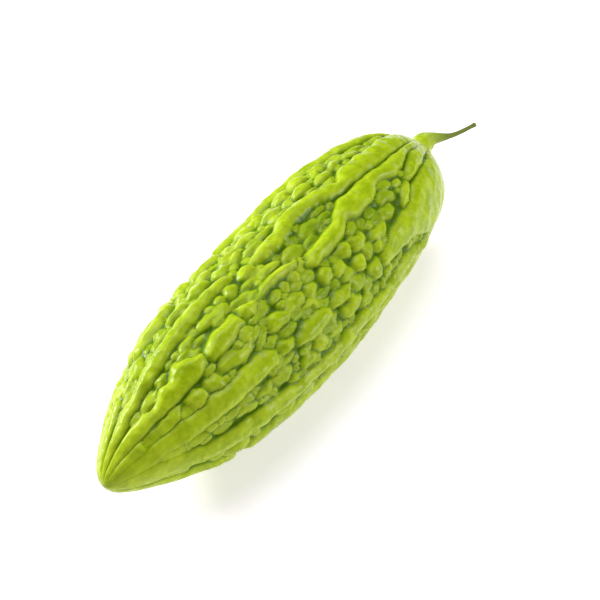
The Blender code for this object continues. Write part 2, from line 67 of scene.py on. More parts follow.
class Pattern(Enum):
    """Patterns that the skin's material makes by itself."""

    MOTTLE = "mottle"
    PATCHES = "patches"
    GRAIN = "grain"
    FOLDS = "folds"
    FAR_OUT = "far out"


class Side(Enum):
    """Where a lamp stands as the camera sees it: (to the right, up, towards the camera)."""

    KEY_LEFT = (-0.84, 0.44, -0.32)
    FILL_RIGHT = (0.95, 0.30, 0.05)
    OVERHEAD = (-0.10, 1.0, -0.25)


# Radius over the crests, from the blossom tip to the neck: (x, radius)
PROFILE: Rows = (
    (-106, 0), (-105.4, 2.1), (-104, 4.5), (-100, 8.2), (-92, 13.3), (-80, 19.3),
    (-60, 27.1), (-35, 30.9), (-10, 32), (15, 32.1), (40, 30.9), (60, 28.6),
    (75, 25), (85, 20.8), (92, 15.4), (96.5, 10.9), (99.5, 7.6), (102, 5.6),
    (106, 4.7),
)

# How far the middle of the pod sways off the straight axis: (x, y offset, z offset)
SWAY: Rows = (
    (-106, -1, -0.6), (-50, -0.9, -0.5), (0, -1.2, -0.7), (50, 0.6, 0.3),
    (90, 0.1, 0), (98, 0.4, 0.2), (106, 2.3, 1.3),
)

# Share of the relief depth that is reached along the pod: (x, share)
RELIEF_ALONG: Rows = (
    (-106, 0), (-103, 0.24), (-95, 0.52), (-80, 0.8), (-60, 1), (60, 1),
    (80, 0.8), (92, 0.5), (99, 0.3), (103.5, 0), (106, 0),
)

# Ridges of the side that is seen, each a list of (x, upper edge, lower edge), edges in degrees
RIDGES: Sequence[Rows] = (
    ((-104, -60, -34), (-92, -57, -34), (-84, -54, -37)),
    ((-64, -53, -41), (-52, -53, -39), (-42, -50, -42)),
    ((-26, -51, -43), (-18, -51, -40), (-12, -49, -43)),
    ((-8, -62, -53), (5, -66, -51), (20, -63, -49), (32, -58, -45), (45, -53, -37),
     (80, -50, -28), (103, -50, -22)),
    ((-104, -27, -8), (-90, -26, -9), (-70, -24, -8), (-60, -22, -8), (-45, -22, -9),
     (-33, -20, -9), (-26, -17, -9)),
    ((-15, -10, -3), (-8, -12, 0), (0, -13, -1), (12, -19, -5), (20, -16.5, -3),
     (28, -12, 3), (34, -8.5, 6.5), (37.5, -3, 7.5), (40.5, -6.5, 8.2), (45, -9, 8.8),
     (60, -9.5, 10), (75, -12.5, 9.7), (88, -14, 9), (103, -15, 6)),
    ((-104, -3, 17), (-93, -1, 19), (-88, 3, 20), (-85, 1, 21), (-80, 7, 24), (-76, 2, 24),
     (-71, 5, 25), (-66, 0, 24), (-60, 7, 23)),
    ((-55, 12, 25), (-48, 8, 25), (-39, 10, 22)),
    ((-27, 13, 18), (-20, 11, 17), (-12, 11, 18), (-6, 13, 20)),
    ((-3, 18, 26), (1, 17, 29), (10, 17, 29), (18, 16, 28), (24, 12.5, 25), (30, 9.5, 27),
     (42, 10.2, 27.5), (49, 10.5, 23), (55, 11, 23.5), (62, 11.3, 28), (70, 11, 23.5),
     (78, 10.5, 18), (90, 9, 18), (103, 9, 22)),
    ((-104, 20, 38), (-93, 22, 37)),
    ((64, 33.5, 39), (67, 30.5, 39.5), (72, 25.5, 38), (79, 20, 35.5), (88, 20, 31), (97, 24, 29)),
    ((-104, 42, 62), (-80, 42, 62), (-60, 43, 61), (-40, 45, 60)),
    ((-26, 55, 62), (-20, 51, 66), (-13, 50, 65), (-9, 54, 62)),
    ((28, 60, 71), (35, 57, 73), (42, 54, 75), (50, 52, 78), (58, 49.5, 86), (63, 44, 92),
     (70, 41, 97), (80, 39, 105), (90, 36, 106), (103, 34, 100)),
    ((-104, 66, 98), (-88, 70, 98), (-70, 80, 100), (-50, 80, 97), (-30, 84, 96),
     (-12, 85, 99), (8, 80, 96), (25, 85, 95), (42, 83, 98), (51, 87, 98), (57, 91, 96)),
    ((-104, 106, 132), (-85, 111, 131), (-66, 116, 128)),
    ((-55, 114, 128), (-42, 111, 131), (-15, 114, 130), (5, 117, 127), (22, 113, 131),
     (50, 113, 130), (80, 111, 134), (103, 109, 134)),
)

# Where the grooves run out into smooth skin: (x, angle, half length, half angle, share lost)
CALM: Rows = (
    (-108, 64, 31, 56, 0.85), (92, 2, 17, 22, 0.45),
    (-66, 52, 20, 22, 0.3),
)

# Where the warts stand lower than the skin round them, in the same columns
HOLLOWS: Rows = (
    (8, 7, 22, 11, 0.3), (42, 34, 14, 9, 0.25), (-3, 47, 8, 7, 0.15),
    (-66, 33, 14, 12, -0.1),
)

# Warts of the same side: (x, angle, length, width, lean), lengths in millimetres and the
# lean in degrees that turns the length from +X towards the greater angles
WARTS: Rows = (
    (-1.5, 9, 11, 6.2, 0), (12, 5, 12, 6.2, 0), (7, 13.2, 9, 3.4, 0), (21, 1.5, 8, 3.3, 0),
    (20.5, 8, 9, 3.3, 0), (-14, 6, 11, 3.9, 0), (-57, -1.5, 7, 3.4, 0), (-61, 4, 7, 2.8, 0),
    (-54, 4, 7, 2.9, 0), (-45, -1, 11, 4.6, 0), (-38, 2.5, 7, 4.3, 0), (-32, 6, 11, 4.3, 0),
    (-24, 2.5, 7, 4.4, 0), (-34, 15, 11, 6.5, 0), (-19, -6, 9, 4.4, 0),
    (48.7, 34.6, 10.2, 5.2, 18), (43.5, 42.5, 10.5, 5.8, 22), (58, 33, 6.2, 4.1, 0),
    (36.5, 33, 5.2, 3.8, 10), (52, 26.5, 6, 3.6, 22), (24, 29, 7.1, 5, -18),
    (21.5, 39, 9.5, 7.2, 0), (13.5, 35.5, 7, 6.2, 0), (31.6, 38, 5.2, 3.4, 13),
    (0.2, 38, 8.2, 6.6, 13), (6.5, 41.5, 7, 5.6, 0), (16, 50.5, 9.5, 7.3, 27),
    (33, 47.5, 12, 5.2, 5), (57.5, 44, 13, 4.8, -32), (-6, 30, 6, 4.5, 0),
    (-12, 28.5, 6, 3.3, 0), (-9, 38, 7, 5.6, 0), (-17, 35, 10, 6.1, 0), (-28, 36.5, 12, 6.5, 0),
    (-35.5, 44, 8, 4.3, 0), (-27, 46.5, 9, 4.4, 0), (-20.5, 43.5, 5, 2.8, 0),
    (-15, 43, 6, 3.3, 0), (-5, 46, 8, 3.9, 0), (-50, 34, 18, 6.5, 6), (-62, 35, 8, 6, 0),
    (-87.8, 64.5, 3.6, 2.5, 0), (-84.3, 66.5, 3.6, 2.9, 8), (-81.2, 70.5, 3.3, 2.6, 16),
    (-69.5, 35, 7, 7.3, 0), (-80, 32, 11, 4.4, 0), (-88, 31, 6, 2.4, 0), (23, 66, 10, 9.4, 0),
    (3, 68, 12, 8.4, 0), (0.5, 57.5, 13, 7.3, 0), (12, 61, 9, 5, 0), (-34, 63, 9, 4.3, 0),
    (-17.5, 73, 8, 6.6, 0), (-8, 75, 8, 5, 0), (-25, 76, 8, 5.5, 0), (-62, 66.5, 7, 3.7, 0),
    (-57, 72, 8, 3.8, 0), (-67, 73, 8, 3.8, 0), (-47, 70, 9, 5.1, 0), (-38, 71, 10, 6.4, 0),
    (-77, 69, 8, 2.9, 0), (12, 76, 9, 5.6, 0), (34, 79, 7, 3.3, 0), (-38.8, 32, 8.3, 3, -30),
    (-36.8, 36.5, 11, 2.8, -39), (-16, 23.5, 5, 3.7, -28), (-22, 23.5, 6.6, 3.4, -13),
    (-28.7, 22.5, 7.2, 4.4, -35), (-3.5, 21.5, 7, 3.8, -33), (-58, 8.5, 7.4, 4.2, -24),
    (-8, -18, 12, 4.5, 0), (39, -16, 9, 5.2, -8), (48.5, -19.5, 9.5, 5.2, -6),
    (29, -23.5, 12, 6.4, -8), (2, -22, 8, 3.9, 0), (-33, -30, 12, 6.5, 0),
    (-46, -30, 11, 5.6, 0), (-22, -24, 9, 4.9, 0), (13, -31, 12, 6.2, 0),
    (-3, -32, 11, 5.6, 0), (58.5, -18, 8.5, 4.6, -4), (66, -26, 9, 4.3, 0),
    (-58, -29, 9, 3.3, 0), (-14, -33, 9, 5, 0),
)


def linear(code: str) -> Row:
    """Turns an sRGB hex colour to linear light.

    Args:
        code: the colour as #RRGGBB.

    Returns:
        The linear red, green and blue values, and full opacity.
    """
    parts = [int(code[i:i + 2], 16) / 255 for i in (1, 3, 5)]
    light = [p / 12.92 if p <= 0.04045 else ((p + 0.055) / 1.055) ** 2.4 for p in parts]
    return (*light, 1.0)


def set_inputs(tree: Any, node: Any, inputs: dict) -> None:
    """Gives a node its input values and links.

    Args:
        tree: the node tree.
        node: the node.
        inputs: values and sockets, by the inputs' names or numbers.
    """
    for key, value in inputs.items():
        if isinstance(value, bpy.types.NodeSocket):
            tree.links.new(value, node.inputs[key])
        else:
            node.inputs[key].default_value = value


def add_node(tree: Any, kind: str, inputs: dict | None = None, **settings: Any) -> Any:
    """Adds a node to a material or a geometry tree, with its settings and links.

    Args:
        tree: the node tree.
        kind: the node's type name.
        inputs: values and sockets, by the inputs' names or numbers.
        settings: the node's own settings.

    Returns:
        The new node's outputs.
    """
    node = tree.nodes.new(kind)
    for name, value in settings.items():
        setattr(node, name, value)
    set_inputs(tree, node, inputs or {})
    return node.outputs


def new_object(name: str, data: Any) -> bpy.types.Object:
    """Puts a mesh, curve, lamp or camera into the scene under a name."""
    piece = bpy.data.objects.new(name, data)
    bpy.context.scene.collection.objects.link(piece)
    return piece


def smooth_through(points: Rows, at: np.ndarray, column: int = 1) -> np.ndarray:
    """Smooth curve through given points, with no overshoot between them.

    Args:
        points: rows whose first column is the place, in rising order.
        at: places to read the curve at.
        column: the column that is read.

    Returns:
        The curve's value at each place.
    """
    table = np.array(points, float)
    knots, values = table[:, 0], table[:, column]
    step = np.diff(knots)
    grade = np.diff(values) / step
    slope = np.zeros(len(knots))
    slope[0], slope[-1] = grade[0], grade[-1]
    agree = grade[:-1] * grade[1:] > 0
    total = np.where(agree, grade[:-1] + grade[1:], 1.0)
    slope[1:-1] = np.where(agree, 2 * grade[:-1] * grade[1:] / total, 0.0)
    at = np.clip(at, knots[0], knots[-1])
    i = np.clip(np.searchsorted(knots, at) - 1, 0, len(step) - 1)
    t = (at - knots[i]) / step[i]
    rise = (3 * t * t - 2 * t ** 3) * (values[i + 1] - values[i])
    bend = (t ** 3 - 2 * t * t + t) * slope[i] + (t ** 3 - t * t) * slope[i + 1]
    return values[i] + rise + bend * step[i]


def ripple(points: np.ndarray, wavelength: float, seed: int) -> np.ndarray:
    """Smooth seeded waviness in space.

    Args:
        points: places, one row each, in millimetres.
        wavelength: about the distance from crest to crest, in millimetres.
        seed: the seed of its random directions.

    Returns:
        A value at each place, between about -1 and 1.
    """
    draw = np.random.default_rng(seed)
    way = draw.normal(size=(RIPPLE_WAVES, 3))
    way /= np.linalg.norm(way, axis=1, keepdims=True)
    pitch = math.tau / (wavelength * draw.uniform(*RIPPLE_SPREAD, RIPPLE_WAVES))
    phase = draw.uniform(0, math.tau, RIPPLE_WAVES)
    total = np.zeros(len(points))
    for k in range(RIPPLE_WAVES):
        total += np.cos(points @ way[k] * pitch[k] + phase[k])
    return total / math.sqrt(RIPPLE_WAVES)


@dataclass
class Relief:
    """The ridges and warts of the pod, as heights over its unrolled surface.

    Ridges and warts share the surface between them as cells. Each cell rises from a narrow
    valley, round-shouldered, to its own top. The side that is out of sight gets its ridges
    by rule, and seeded warts fill every free spot.
    """

    depth: float = 4.6
    hidden_ridges: int = 5
    hidden_first_angle: float = 154.3
    hidden_pitch: float = 32.3
    hidden_end_half: float = 12.5
    hidden_mid_half: float = 7.5
    hidden_wander: float = 2.6
    hidden_lengths: Row = (34.0, 62.0)
    hidden_break: float = 7.0
    hidden_taper: float = 0.5
    hidden_row_pitch: float = 11.0
    hidden_width_range: Row = (0.82, 1.18)
    hidden_break_range: Row = (0.6, 1.4)
    ends: Row = (-104.5, 103.5)
    passes: Sequence[tuple[float, float, int]] = (
        (4.9, 3.7, 4000), (3.9, 2.7, 6000), (2.9, 1.9, 9000), (2.1, 1.25, 14000))
    lengthening: Row = (1.0, 1.45)
    leans: Row = (-35.0, 25.0)
    end_room: float = 6.0
    wart_seed: int = 7
    ripple_seed: int = 11
    edge_width: float = 3.2
    smallest_edge_width: float = 0.9
    edge_share: float = 0.9
    edge_rise: float = 0.95
    least_edge_scale: float = 0.25
    floor_blend: float = 0.55
    wart_top: Row = (0.62, 0.95)
    wart_top_radii: Row = (1.3, 4.6)
    wart_top_spread: float = 0.12
    wander: float = 0.4
    wander_lengths: Row = (11.0, 8.0)
    fine_wander: float = 0.3
    ridge_wander: float = 0.35
    fine_wander_length: float = 4.5
    lobes: float = 0.25
    lobe_length: float = 17.0
    full_wander_radius: float = 18.0
    outside_margin: float = 0.8
    margin_spread: float = 0.35
    margin_length: float = 13.0
    corner_blend: float = 0.7
    fusion: float = 0.9
    fusion_length: float = 9.0
    most_fused: float = 0.85
    fusion_reach: float = 0.6
    fusion_fade: float = 1.2
    valley_width: float = 1.6
    valley_sink: float = 0.45
    shoulder_powers: Row = (2.2, 0.75)
    crown_reach: float = 4.5
    least_radius: float = 0.5
    ridge_tone: float = 0.5
    points_at_once: int = 4000
    ridges: list = field(init=False)
    warts: np.ndarray = field(init=False)

    def __post_init__(self) -> None:
        """Places every ridge and wart."""
        self.ridges = list(RIDGES) + self.ridges_out_of_sight()
        self.warts = np.array(self.filled_in(self.placed_warts()))

    @staticmethod
    def radius(x: np.ndarray) -> np.ndarray:
        """Radius over the crests at x, in millimetres."""
        return smooth_through(PROFILE, x)

    @staticmethod
    def wrapped(degrees: np.ndarray) -> np.ndarray:
        """Angle differences brought between -180 and 180 degrees."""
        return (degrees + 180.0) % 360.0 - 180.0

    def ridges_out_of_sight(self) -> list[list[Row]]:
        """Evenly pitched ridges that wander and break like the ones that are seen.

        Returns:
            One list of (x, upper edge, lower edge) for each piece of ridge.
        """
        draw = np.random.default_rng(self.wart_seed)
        first, last = self.ends
        found = []
        for k in range(self.hidden_ridges):
            middle = self.hidden_first_angle + k * self.hidden_pitch
            start = first
            while start < last:
                stop = start + draw.uniform(*self.hidden_lengths)
                if last - stop < self.hidden_lengths[0]:
                    stop = last
                points = []
                rows = 2 + int((stop - start) / self.hidden_row_pitch)
                for x in np.linspace(start, stop, rows):
                    to_end = abs((x - 0.5 * (first + last)) / (0.5 * (last - first)))
                    half = self.hidden_mid_half
                    half += (self.hidden_end_half - half) * to_end ** 3
                    half *= draw.uniform(*self.hidden_width_range)
                    if (x == start and start > first) or (x == stop and stop < last):
                        half *= self.hidden_taper
                    turn = self.hidden_wander * (1 - to_end) * draw.uniform(-1, 1)
                    points.append((x, middle + turn - half, middle + turn + half))
                found.append(points)
                start = stop + self.hidden_break * draw.uniform(*self.hidden_break_range)
        return found

    def patches(self, x: np.ndarray, angle: np.ndarray, rows: Rows) -> np.ndarray:
        """Sums soft-edged patches of the surface.

        Args:
            x: places along the pod, in millimetres.
            angle: places round it, in degrees.
            rows: the patches as (x, angle, half length, half angle, amount).

        Returns:
            The summed amount at each place.
        """
        total = np.zeros(len(x))
        for mid_x, mid_angle, half_x, half_angle, amount in rows:
            far = ((x - mid_x) / half_x) ** 2
            far += (self.wrapped(angle - mid_angle) / half_angle) ** 2
            total += amount * np.exp(-far ** 2)
        return total

    def ridge_distance(self, x: np.ndarray, angle: np.ndarray, radius: np.ndarray,
                       ridge: Rows) -> np.ndarray:
        """Distance from a ridge's edge, negative on the ridge.

        Args:
            x: places along the pod, in millimetres.
            angle: places round it, in degrees.
            radius: the envelope's radius there.
            ridge: the ridge's rows of (x, upper edge, lower edge).

        Returns:
            The distance at each place, in millimetres.
        """
        inside_x = np.clip(x, ridge[0][0], ridge[-1][0])
        upper = smooth_through(ridge, inside_x, 1)
        lower = smooth_through(ridge, inside_x, 2)
        across = np.radians(self.wrapped(angle - 0.5 * (upper + lower))) * radius
        half = np.radians(0.5 * (lower - upper)) * radius
        return np.hypot(across, x - inside_x) - half

    def wart_distance(self, x: np.ndarray, angle: np.ndarray, radius: np.ndarray,
                      warts: np.ndarray) -> np.ndarray:
        """Distance from each wart's edge, negative on the wart.

        Args:
            x: places along the pod, in millimetres.
            angle: places round it, in degrees.
            radius: the envelope's radius there.
            warts: rows of (x, angle, half length, half width, lean in radians).

        Returns:
            One row for each place and one column for each wart, in millimetres.
        """
        ahead = x[:, None] - warts[None, :, 0]
        arc = np.radians(self.wrapped(angle[:, None] - warts[None, :, 1])) * radius[:, None]
        cos, sin = np.cos(warts[:, 4]), np.sin(warts[:, 4])
        along = (ahead * cos + arc * sin) / warts[None, :, 2]
        across = (arc * cos - ahead * sin) / warts[None, :, 3]
        size = np.sqrt(warts[:, 2] * warts[:, 3])
        return (np.sqrt(along ** 2 + across ** 2) - 1.0) * size[None, :]

    def placed_warts(self) -> list[Row]:
        """The listed warts, as (x, angle, half length, half width, lean in radians)."""
        return [(x, angle, 0.5 * length, 0.5 * width, math.radians(lean))
                for x, angle, length, width, lean in WARTS]

    def filled_in(self, warts: list[Row]) -> list[Row]:
        """Adds seeded warts, large ones first, wherever a free spot is wide enough.

        Args:
            warts: the warts that are already there.

        Returns:
            Those warts and the new ones.
        """
        draw = np.random.default_rng(self.wart_seed + 1)
        first, last = self.ends
        for largest, smallest, tries in self.passes:
            x = draw.uniform(first + self.end_room, last - self.end_room, tries)
            angle = draw.uniform(-180, 180, tries)
            stretch = draw.uniform(*self.lengthening, tries)
            lean = np.radians(draw.uniform(*self.leans, tries))
            radius = self.radius(x)
            free = np.min([self.ridge_distance(x, angle, radius, r) for r in self.ridges], axis=0)
            near = self.wart_distance(x, angle, radius, np.array(warts)).min(axis=1)
            free = np.minimum(free, near)
            added: list[Row] = []
            for k in np.flatnonzero(free >= smallest):
                half = min(free[k], largest)
                spot = slice(k, k + 1)
                if added:
                    near = self.wart_distance(x[spot], angle[spot], radius[spot],
                                              np.array(added))
                    half = min(half, float(near.min()))
                if half >= smallest:
                    added.append((x[k], angle[k], half * stretch[k], half, lean[k]))
            warts = warts + added
        return warts

    def cross_section(self) -> tuple[np.ndarray, np.ndarray]:
        """How high each ridge and wart stands, and how wide its rounded edge is.

        Returns:
            The tops as shares of the depth, and the edges' widths in millimetres.
        """
        half = np.minimum(self.warts[:, 2], self.warts[:, 3])
        small, large = self.wart_top_radii
        share = np.clip((half - small) / (large - small), 0, 1)
        draw = np.random.default_rng(self.wart_seed + 2)
        tops = self.wart_top[0] + (self.wart_top[1] - self.wart_top[0]) * share
        tops -= self.patches(self.warts[:, 0], self.warts[:, 1], HOLLOWS)
        tops += draw.uniform(-self.wart_top_spread, self.wart_top_spread, len(half))
        edges = np.clip(self.edge_share * half, self.smallest_edge_width, self.edge_width)
        count = len(self.ridges)
        return (np.concatenate([np.ones(count), tops]),
                np.concatenate([np.full(count, self.edge_width), edges]))

    def read(self, x: np.ndarray, angle: np.ndarray) -> dict[Mark, np.ndarray]:
        """Reads the relief off at places on the pod.

        Args:
            x: places along the pod, in millimetres.
            angle: places round it, in degrees.

        Returns:
            By attribute: the relief's share of its depth, the lift over the valley, how far
            the cell's crown falls there, a tone drawn for each cell, and how far up its
            rounded edge the place is. All but the crown run from 0 to 1.
        """
        radius = np.maximum(self.radius(x), self.least_radius)
        turn = np.radians(angle)
        place = np.stack([x, radius * np.cos(turn), radius * np.sin(turn)], axis=1)
        ease = np.clip(radius / self.full_wander_radius, 0, 1)
        share_all = smooth_through(RELIEF_ALONG, x)
        share_all *= 1 - self.patches(x, angle, CALM)
        fused = self.fusion * ripple(place, self.fusion_length, self.ripple_seed + 4)
        fused = np.clip(fused, 0, self.most_fused)
        ahead, aside = (
            self.wander * ripple(place, length, self.ripple_seed + k)
            + self.fine_wander * ripple(place, self.fine_wander_length, self.ripple_seed + 5 + k)
            for k, length in enumerate(self.wander_lengths))
        wart_x = x + ahead * ease
        wart_angle = angle + np.degrees(aside * ease / radius)
        x = x + ahead * ease * self.ridge_wander
        angle = angle + np.degrees(aside * ease * self.ridge_wander / radius)
        lobes = self.lobes * ease * ripple(place, self.lobe_length, self.ripple_seed + 3)
        margin = ripple(place, self.margin_length, self.ripple_seed + 7)
        margin = self.outside_margin + self.margin_spread * margin

        tops, edges = self.cross_section()
        rise = np.minimum(self.edge_rise * edges / self.depth, tops)
        floor = tops - rise
        tones = np.random.default_rng(self.wart_seed + 3).uniform(0, 1, len(tops))
        tones[:len(self.ridges)] = self.ridge_tone
        lift, shoulder, crown, tone = np.empty((4, len(x)))
        for start in range(0, len(x), self.points_at_once):
            part = slice(start, start + self.points_at_once)
            px, pa, pr = x[part], angle[part], radius[part]
            far = np.column_stack([
                *(self.ridge_distance(px, pa, pr, ridge) - lobes[part] for ridge in self.ridges),
                self.wart_distance(wart_x[part], wart_angle[part], pr, self.warts)])
            own = far.argmin(axis=1)
            nearest, second = np.partition(far, 1, axis=1)[:, :2].T
            share = np.clip(smooth_through(RELIEF_ALONG, px), self.least_edge_scale, 1)
            between = 0.5 * (second - nearest)
            within = margin[part] - nearest
            mixed = np.clip(0.5 + 0.5 * (within - between) / self.corner_blend, 0, 1)
            inside = within + (between - within) * mixed
            inside -= self.corner_blend * mixed * (1 - mixed)
            up = np.clip(inside / (edges[own] * share), 0, 1)
            up = (1 - (1 - up) ** self.shoulder_powers[0]) ** self.shoulder_powers[1]
            near_edge = np.clip(1 + (self.fusion_reach - second) / self.fusion_fade, 0, 1)
            up += (1 - up) * fused[part] * near_edge * (own >= len(self.ridges))
            weight = np.exp(-(far - nearest[:, None]) / self.floor_blend)
            level = (weight @ floor) / weight.sum(axis=1)
            level *= 1 - self.valley_sink * np.clip(nearest / self.valley_width, 0, 1) ** 2
            lift[part] = level + rise[own] * up
            shoulder[part] = up
            crown[part] = (np.clip(-nearest / self.crown_reach, 0, 1) - 1) * up
            tone[part] = (weight @ tones) / weight.sum(axis=1)
        return {Mark.SHARE: share_all, Mark.LIFT: lift, Mark.CROWN: crown, Mark.TONE: tone,
                Mark.SHOULDER: shoulder}


@dataclass(frozen=True)
class Eased:
    """A reading of one source, eased between two amounts, and how it is joined on."""

    source: Enum
    low: float
    high: float
    at_low: float
    at_high: float
    join: str = "MULTIPLY"


@dataclass(frozen=True)
class WaxySkin:
    """Live cucurbit skin: lime green, with a thin wax bloom that gives it a soft wet sheen.

    The crests are light lime. Low skin and the creases are painted darker green as shade,
    over a somewhat deeper green that the skin has in its grooves, and the rims get a painted
    highlight. Their contrast is full where the relief is grown. Noises are (pattern, size,
    detail, roughness), bumps (pattern, strength, depth).
    """

    crest: str = "#8FAA05"
    fresh: str = "#B4CC1B"
    # Painted shade: the low-skin green and the crease green stand in for shade in hollows and
    # creases
    pocket_shade: str = "#6B8C04"
    crease_shade: str = "#426700"
    # Paler tone: real in the random patches, painted highlight on the rims and towards both ends
    pale_tone_and_highlight: str = "#BFCD3E"
    scar: str = "#75683A"
    ior: float = 1.37
    specular: float = 0.2
    coat: float = 0.07
    coat_roughness: float = 0.16
    glow: float = 0.06
    glow_depth: float = 2.5 * MM
    glow_reach: Row = (0.7, 1.0, 0.15)
    gloss: Eased = Eased(Pattern.MOTTLE, 0.3, 0.7, 0.2, 0.35)
    grown: Eased = Eased(Mark.SHARE, 0.0, 0.75, 0.0, 1.0)
    noises: Sequence[tuple[Any, ...]] = (
        (Pattern.MOTTLE, 6.0 * MM, 4.0, 0.72), (Pattern.PATCHES, 36.0 * MM, 1.0, 0.5),
        (Pattern.GRAIN, 0.9 * MM, 2.0, 0.6), (Pattern.FOLDS, 5.0 * MM, 1.0, 0.4))
    bumps: Sequence[tuple[Any, ...]] = (
        (Pattern.FOLDS, 0.8, 1.6 * MM), (Pattern.GRAIN, 0.35, 0.05 * MM))

    def layers(self) -> Sequence[tuple[str, Sequence[Eased]]]:
        """Colours laid over the lime of the crests, each with the readings it shows by."""
        return (
            # Mottling of a few millimetres, and single fresher warts
            (self.fresh, (Eased(Pattern.MOTTLE, 0.36, 0.68, 0.0, 0.7),
                          Eased(Mark.TONE, 0.5, 1.0, 0.0, 0.3, "ADD"))),
            # Painted shade: deeper green where the skin lies low, and nearly black green in the
            # creases
            (self.pocket_shade, (Eased(Mark.LIFT, 0.3, 0.9, 0.8, 0.0), self.grown)),
            (self.crease_shade, (Eased(Mark.SHOULDER, 0.0, 0.5, 0.85, 0.0), self.grown)),
            # Painted highlight: a paler band along each cell's rounded rim, above the creases
            (self.pale_tone_and_highlight, (Eased(Mark.SHOULDER, 0.3, 0.8, 0.0, 0.22),
                         Eased(Mark.SHOULDER, 0.84, 1.0, 1.0, 0.0), self.grown)),
            # Paler, yellower skin in large random patches, and a painted highlight towards both
            # ends
            (self.pale_tone_and_highlight, (Eased(Pattern.PATCHES, 0.48, 0.7, 0.0, 0.3),
                         Eased(Pattern.FAR_OUT, 75.0, 106.0, 0.0, 0.3, "ADD"),
                         Eased(Mark.SHOULDER, 0.1, 0.8, 0.1, 1.0))),
            # The dried spot where the flower dropped off
            (self.scar, (Eased(Mark.ALONG, -105.9, -105.4, 0.3, 0.0),)),
        )

    def sources(self, tree: Any) -> dict[Enum, Any]:
        """Adds what is read from: attributes of the pod's mesh, and noises in space.

        Args:
            tree: the material's node tree.

        Returns:
            The socket of each source.
        """
        add = partial(add_node, tree)
        found = {mark: add("ShaderNodeAttribute", attribute_name=mark.value)["Fac"]
                 for mark in (Mark.SHARE, Mark.LIFT, Mark.TONE, Mark.SHOULDER, Mark.ALONG)}
        place = add("ShaderNodeTexCoord")["Object"]
        for pattern, size, detail, roughness in self.noises:
            found[pattern] = add("ShaderNodeTexNoise", {
                "Vector": place, "Scale": 1 / size, "Detail": detail,
                "Roughness": roughness})["Fac"]
        found[Pattern.FAR_OUT] = add("ShaderNodeMath", {0: found[Mark.ALONG]},
                                     operation="ABSOLUTE")[0]
        return found

    @staticmethod
    def amount(tree: Any, sources: dict[Enum, Any], readings: Sequence[Eased]) -> Any:
        """Joins readings to one amount.

        Args:
            tree: the material's node tree.
            sources: the socket of each source.
            readings: the readings, in the order of joining.

        Returns:
            The socket of the amount.
        """
        total = None
        for reading in readings:
            eased = add_node(tree, "ShaderNodeMapRange", {
                "Value": sources[reading.source], "From Min": reading.low,
                "From Max": reading.high, "To Min": reading.at_low,
                "To Max": reading.at_high}, interpolation_type="SMOOTHSTEP")[0]
            total = eased if total is None else add_node(
                tree, "ShaderNodeMath", {0: total, 1: eased}, operation=reading.join,
                use_clamp=True)[0]
        return total

    def material(self) -> bpy.types.Material:
        """Makes the skin's material."""
        material = bpy.data.materials.new("waxy_melon_skin")
        material.use_nodes = True
        tree = material.node_tree
        sources = self.sources(tree)
        colour = linear(self.crest)
        for code, readings in self.layers():
            colour = add_node(tree, "ShaderNodeMix", {
                "Factor": self.amount(tree, sources, readings), 6: colour,
                7: linear(code)}, data_type="RGBA")[2]
        normal: dict[str, Any] = {}
        for pattern, strength, depth in self.bumps:
            normal["Normal"] = add_node(tree, "ShaderNodeBump", {
                "Height": sources[pattern], "Strength": strength, "Distance": depth,
                **normal})["Normal"]
        set_inputs(tree, tree.nodes["Principled BSDF"], {
            "Base Color": colour, "Roughness": self.amount(tree, sources, (self.gloss,)),
            "IOR": self.ior, "Specular IOR Level": self.specular,
            "Subsurface Weight": self.glow, "Subsurface Radius": self.glow_reach,
            "Subsurface Scale": self.glow_depth, "Coat Weight": self.coat,
            "Coat Roughness": self.coat_roughness, **normal})
        return material


@dataclass(frozen=True)
class StalkSkin:
    """Tough matt stalk: fruit green at the neck, olive further out, browned at the cut."""

    base: str = "#A0B82A"
    middle: str = "#66790E"
    tip: str = "#626C1E"
    stops: Row = (0.05, 0.45, 0.95)
    jitter: float = 0.3
    roughness: float = 0.55
    specular: float = 0.25
    streak_size: float = 0.8 * MM
    streak_stretch: float = 0.15
    streak_detail: float = 3.0
    streak_strength: float = 0.5
    streak_depth: float = 0.15 * MM

    def material(self) -> bpy.types.Material:
        """Makes the stalk's material."""
        material = bpy.data.materials.new("stalk_skin")
        material.use_nodes = True
        tree = material.node_tree
        add = partial(add_node, tree)
        along = add("ShaderNodeAttribute", attribute_name=Mark.ALONG.value)["Fac"]
        place = add("ShaderNodeTexCoord")["Object"]
        stretched = add("ShaderNodeMapping", {
            "Vector": place, "Scale": (self.streak_stretch, 1.0, 1.0)})[0]
        streaks = add("ShaderNodeTexNoise", {
            "Vector": stretched, "Scale": 1 / self.streak_size,
            "Detail": self.streak_detail})["Fac"]
        centred = add("ShaderNodeMath", {0: streaks, 1: -0.5}, operation="ADD")[0]
        reached = add("ShaderNodeMath", {0: centred, 1: self.jitter, 2: along},
                      operation="MULTIPLY_ADD")[0]
        colour = add("ShaderNodeValToRGB", {"Fac": reached})["Color"]
        stops = colour.node.color_ramp.elements
        stops.new(self.stops[1])
        for stop, spot, code in zip(stops, self.stops, (self.base, self.middle, self.tip)):
            stop.position = spot
            stop.color = linear(code)
        normal = add("ShaderNodeBump", {"Height": streaks, "Strength": self.streak_strength,
                                        "Distance": self.streak_depth})["Normal"]
        set_inputs(tree, tree.nodes["Principled BSDF"], {
            "Base Color": colour, "Normal": normal, "Roughness": self.roughness,
            "Specular IOR Level": self.specular})
        return material


@dataclass(frozen=True)
class LightTable:
    """Opal light table: matt white and faintly lit from below, so that shadows stay faint."""

    colour: str = "#F6F0F9"
    roughness: float = 0.85
    glow: float = 0.5

    def material(self) -> bpy.types.Material:
        """Makes the board's material."""
        material = bpy.data.materials.new("opal_table")
        material.use_nodes = True
        tree = material.node_tree
        set_inputs(tree, tree.nodes["Principled BSDF"], {
            "Base Color": linear(self.colour), "Roughness": self.roughness,
            "Emission Color": linear(self.colour), "Emission Strength": self.glow})
        return material


